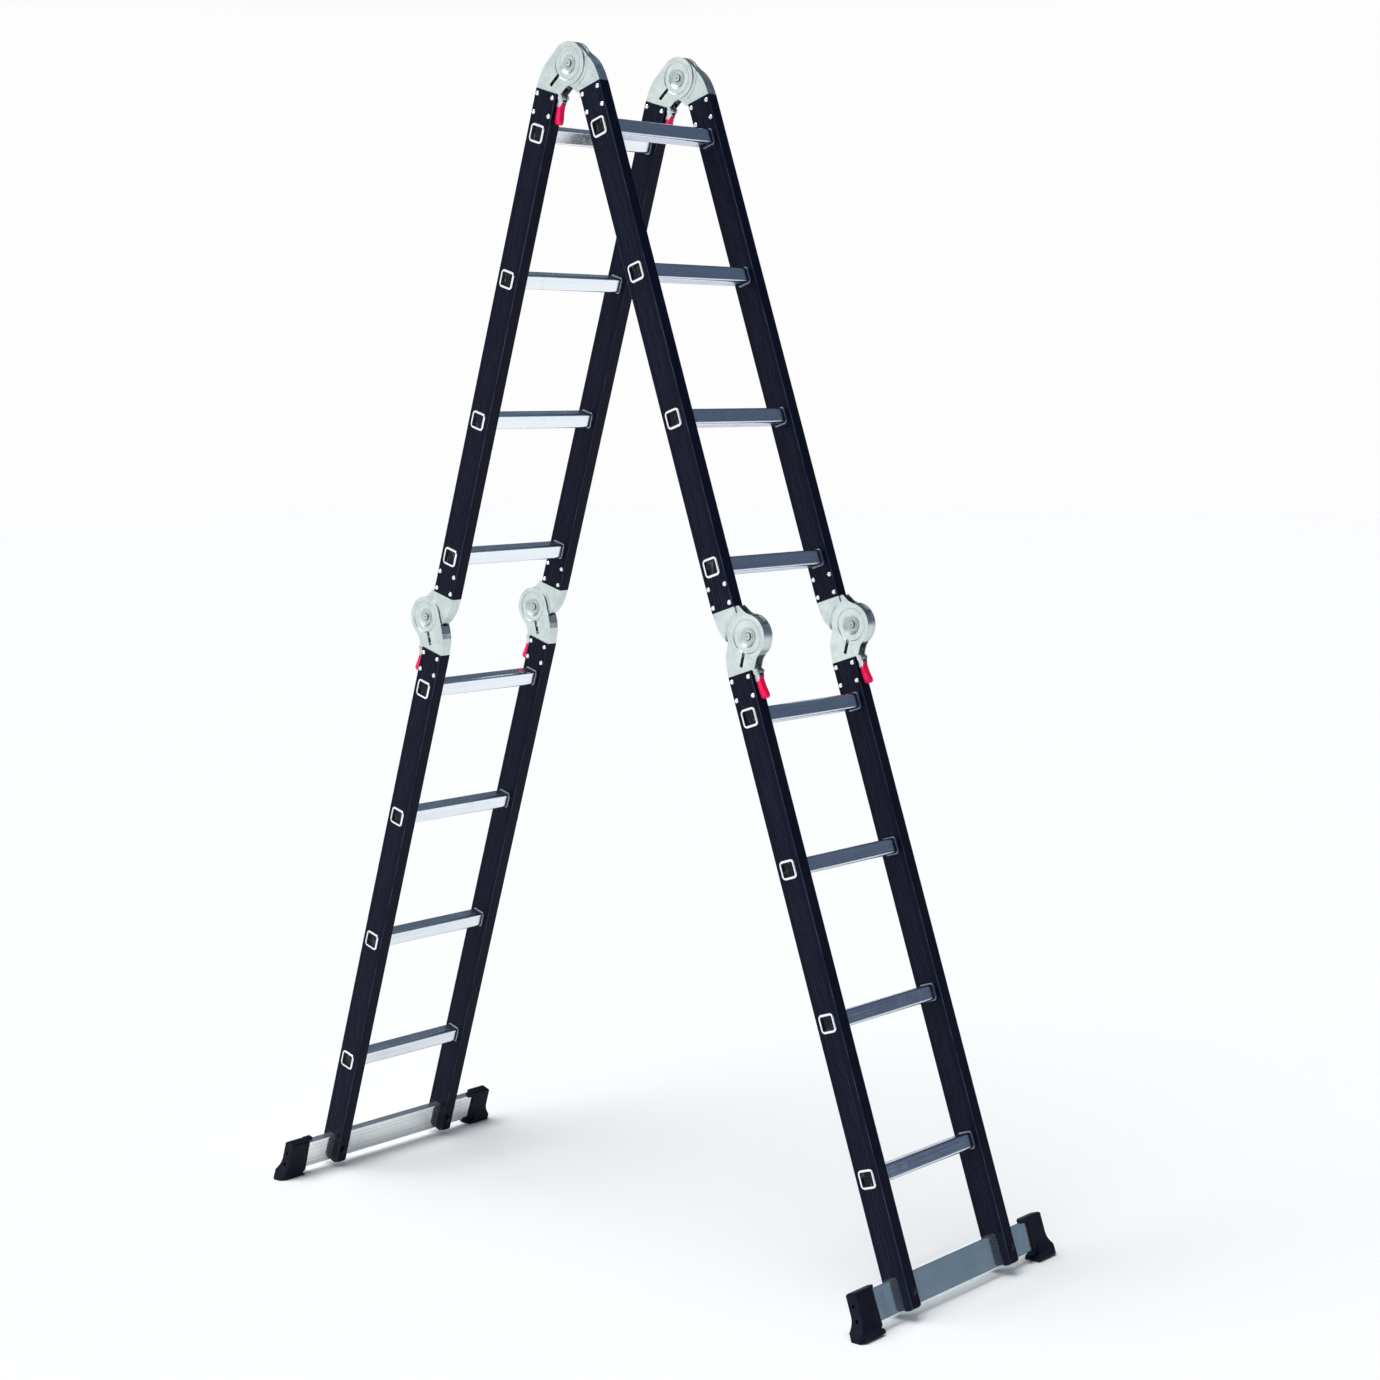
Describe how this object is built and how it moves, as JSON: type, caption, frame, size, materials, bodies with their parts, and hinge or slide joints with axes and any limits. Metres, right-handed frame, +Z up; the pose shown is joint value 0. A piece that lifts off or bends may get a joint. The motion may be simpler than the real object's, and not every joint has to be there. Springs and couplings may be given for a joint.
{
  "type": "folding ladder",
  "caption": "Multi-position ladder of four rung sections joined by locking hinges, with stabiliser bars and rubber feet; folds flat, stands as a double-sided step ladder or opens straight.",
  "frame": {"origin": "on the floor, midway between the two legs and midway across the ladder, with the ladder standing open as a step ladder", "axes": "+Z up, +X from leg A to leg B, +Y across the ladder along the rungs"},
  "size_m": [1.5522, 0.612, 2.2685],
  "materials": {
    "black_stile": "black anodised, satin",
    "rung_aluminium": "bare mill finish",
    "bar_aluminium": "bare mill finish",
    "plug_plastic": "moulded, glossy",
    "black_plastic": "moulded, matte",
    "rivet_steel": "bright zinc",
    "bolt_steel": "bright zinc",
    "hinge_zinc": "pressed steel, pale zinc plate",
    "lever_zinc": "pressed steel, zinc plate",
    "grip_red": "moulded, glossy",
    "pin_black": "black oxide",
    "foot_rubber": "moulded"
  },
  "bodies": {
    "section_a_upper": {"stile_near_a_upper": "black_stile", "stile_far_a_upper": "black_stile", "rungs_a_upper": "rung_aluminium", "rung_plugs_a_upper": "plug_plastic", "rivets_a_upper": "rivet_steel", "lock_plates_top": "hinge_zinc", "pivot_bolts_top": "bolt_steel", "lever_springs_top": "lever_zinc", "ratchet_leaves_mid_a": "hinge_zinc"},
    "section_b_upper": {"stile_near_b_upper": "black_stile", "stile_far_b_upper": "black_stile", "rungs_b_upper": "rung_aluminium", "rung_plugs_b_upper": "plug_plastic", "rivets_b_upper": "rivet_steel", "ratchet_leaves_top": "hinge_zinc", "ratchet_leaves_mid_b": "hinge_zinc"},
    "section_a_lower": {"stile_near_a_lower": "black_stile", "stile_far_a_lower": "black_stile", "rungs_a_lower": "rung_aluminium", "rung_plugs_a_lower": "plug_plastic", "rivets_a_lower": "rivet_steel", "lock_plates_mid_a": "hinge_zinc", "pivot_bolts_mid_a": "bolt_steel", "lever_springs_mid_a": "lever_zinc", "stabiliser_bar_a": "bar_aluminium", "foot_near_a": "foot_rubber", "foot_far_a": "foot_rubber", "stile_inserts_a": "black_plastic", "bar_bolts_a": "pin_black"},
    "section_b_lower": {"stile_near_b_lower": "black_stile", "stile_far_b_lower": "black_stile", "rungs_b_lower": "rung_aluminium", "rung_plugs_b_lower": "plug_plastic", "rivets_b_lower": "rivet_steel", "lock_plates_mid_b": "hinge_zinc", "pivot_bolts_mid_b": "bolt_steel", "lever_springs_mid_b": "lever_zinc", "stabiliser_bar_b": "bar_aluminium", "foot_near_b": "foot_rubber", "foot_far_b": "foot_rubber", "stile_inserts_b": "black_plastic", "bar_bolts_b": "pin_black"},
    "release_top_near": {"lever_top_near": "lever_zinc", "grip_top_near": "grip_red"},
    "pin_top_near": {"lock_pin_top_near": "pin_black"},
    "release_top_far": {"lever_top_far": "lever_zinc", "grip_top_far": "grip_red"},
    "pin_top_far": {"lock_pin_top_far": "pin_black"},
    "release_mid_a_near": {"lever_mid_a_near": "lever_zinc", "grip_mid_a_near": "grip_red"},
    "pin_mid_a_near": {"lock_pin_mid_a_near": "pin_black"},
    "release_mid_a_far": {"lever_mid_a_far": "lever_zinc", "grip_mid_a_far": "grip_red"},
    "pin_mid_a_far": {"lock_pin_mid_a_far": "pin_black"},
    "release_mid_b_near": {"lever_mid_b_near": "lever_zinc", "grip_mid_b_near": "grip_red"},
    "pin_mid_b_near": {"lock_pin_mid_b_near": "pin_black"},
    "release_mid_b_far": {"lever_mid_b_far": "lever_zinc", "grip_mid_b_far": "grip_red"},
    "pin_mid_b_far": {"lock_pin_mid_b_far": "pin_black"}
  },
  "joints": [
    {"name": "top_hinge", "type": "hinge", "parent": "section_a_upper", "child": "section_b_upper", "pos_m": [0, 0, 2.22851], "axis": [0, -1, 0], "range_deg": [-35.64, 144.36]},
    {"name": "mid_hinge_a", "type": "hinge", "parent": "section_a_upper", "child": "section_a_lower", "pos_m": [-0.41491, 0, 1.18544], "axis": [0, -1, 0], "range_deg": [-180, 0]},
    {"name": "mid_hinge_b", "type": "hinge", "parent": "section_b_upper", "child": "section_b_lower", "pos_m": [0.41491, 0, 1.18544], "axis": [0, 1, 0], "range_deg": [-180, 0]},
    {"name": "lever_top_near", "type": "hinge", "parent": "section_a_upper", "child": "release_top_near", "pos_m": [-0.02227, -0.154, 2.16739], "axis": [0, -1, 0], "range_deg": [0, 15], "stiffness_Nm_per_rad": 0.6, "springref_deg": -20.05},
    {"name": "pin_top_near", "type": "slide", "parent": "section_a_upper", "child": "pin_top_near", "axis": [-0.764, 0, -0.6452], "range_m": [0, 0.006]},
    {"name": "lever_top_far", "type": "hinge", "parent": "section_a_upper", "child": "release_top_far", "pos_m": [-0.02227, 0.154, 2.16739], "axis": [0, -1, 0], "range_deg": [0, 15], "stiffness_Nm_per_rad": 0.6, "springref_deg": -20.05},
    {"name": "pin_top_far", "type": "slide", "parent": "section_a_upper", "child": "pin_top_far", "axis": [-0.764, 0, -0.6452], "range_m": [0, 0.006]},
    {"name": "lever_mid_a_near", "type": "hinge", "parent": "section_a_lower", "child": "release_mid_a_near", "pos_m": [-0.43243, -0.154, 1.1228], "axis": [0, 1, 0], "range_deg": [0, 15], "stiffness_Nm_per_rad": 0.6, "springref_deg": -20.05},
    {"name": "pin_mid_a_near", "type": "slide", "parent": "section_a_lower", "child": "pin_mid_a_near", "axis": [0.245, 0, -0.9695], "range_m": [0, 0.006]},
    {"name": "lever_mid_a_far", "type": "hinge", "parent": "section_a_lower", "child": "release_mid_a_far", "pos_m": [-0.43243, 0.154, 1.1228], "axis": [0, 1, 0], "range_deg": [0, 15], "stiffness_Nm_per_rad": 0.6, "springref_deg": -20.05},
    {"name": "pin_mid_a_far", "type": "slide", "parent": "section_a_lower", "child": "pin_mid_a_far", "axis": [0.245, 0, -0.9695], "range_m": [0, 0.006]},
    {"name": "lever_mid_b_near", "type": "hinge", "parent": "section_b_lower", "child": "release_mid_b_near", "pos_m": [0.43243, -0.154, 1.1228], "axis": [0, -1, 0], "range_deg": [0, 15], "stiffness_Nm_per_rad": 0.6, "springref_deg": -20.05},
    {"name": "pin_mid_b_near", "type": "slide", "parent": "section_b_lower", "child": "pin_mid_b_near", "axis": [-0.245, 0, -0.9695], "range_m": [0, 0.006]},
    {"name": "lever_mid_b_far", "type": "hinge", "parent": "section_b_lower", "child": "release_mid_b_far", "pos_m": [0.43243, 0.154, 1.1228], "axis": [0, -1, 0], "range_deg": [0, 15], "stiffness_Nm_per_rad": 0.6, "springref_deg": -20.05},
    {"name": "pin_mid_b_far", "type": "slide", "parent": "section_b_lower", "child": "pin_mid_b_far", "axis": [-0.245, 0, -0.9695], "range_m": [0, 0.006]}
  ],
  "couplings": [
    {"joint": "pin_top_near", "follows": "lever_top_near", "m_per_rad": 0.0229},
    {"joint": "pin_top_far", "follows": "lever_top_far", "m_per_rad": 0.0229},
    {"joint": "pin_mid_a_near", "follows": "lever_mid_a_near", "m_per_rad": 0.0229},
    {"joint": "pin_mid_a_far", "follows": "lever_mid_a_far", "m_per_rad": 0.0229},
    {"joint": "pin_mid_b_near", "follows": "lever_mid_b_near", "m_per_rad": 0.0229},
    {"joint": "pin_mid_b_far", "follows": "lever_mid_b_far", "m_per_rad": 0.0229}
  ]
}
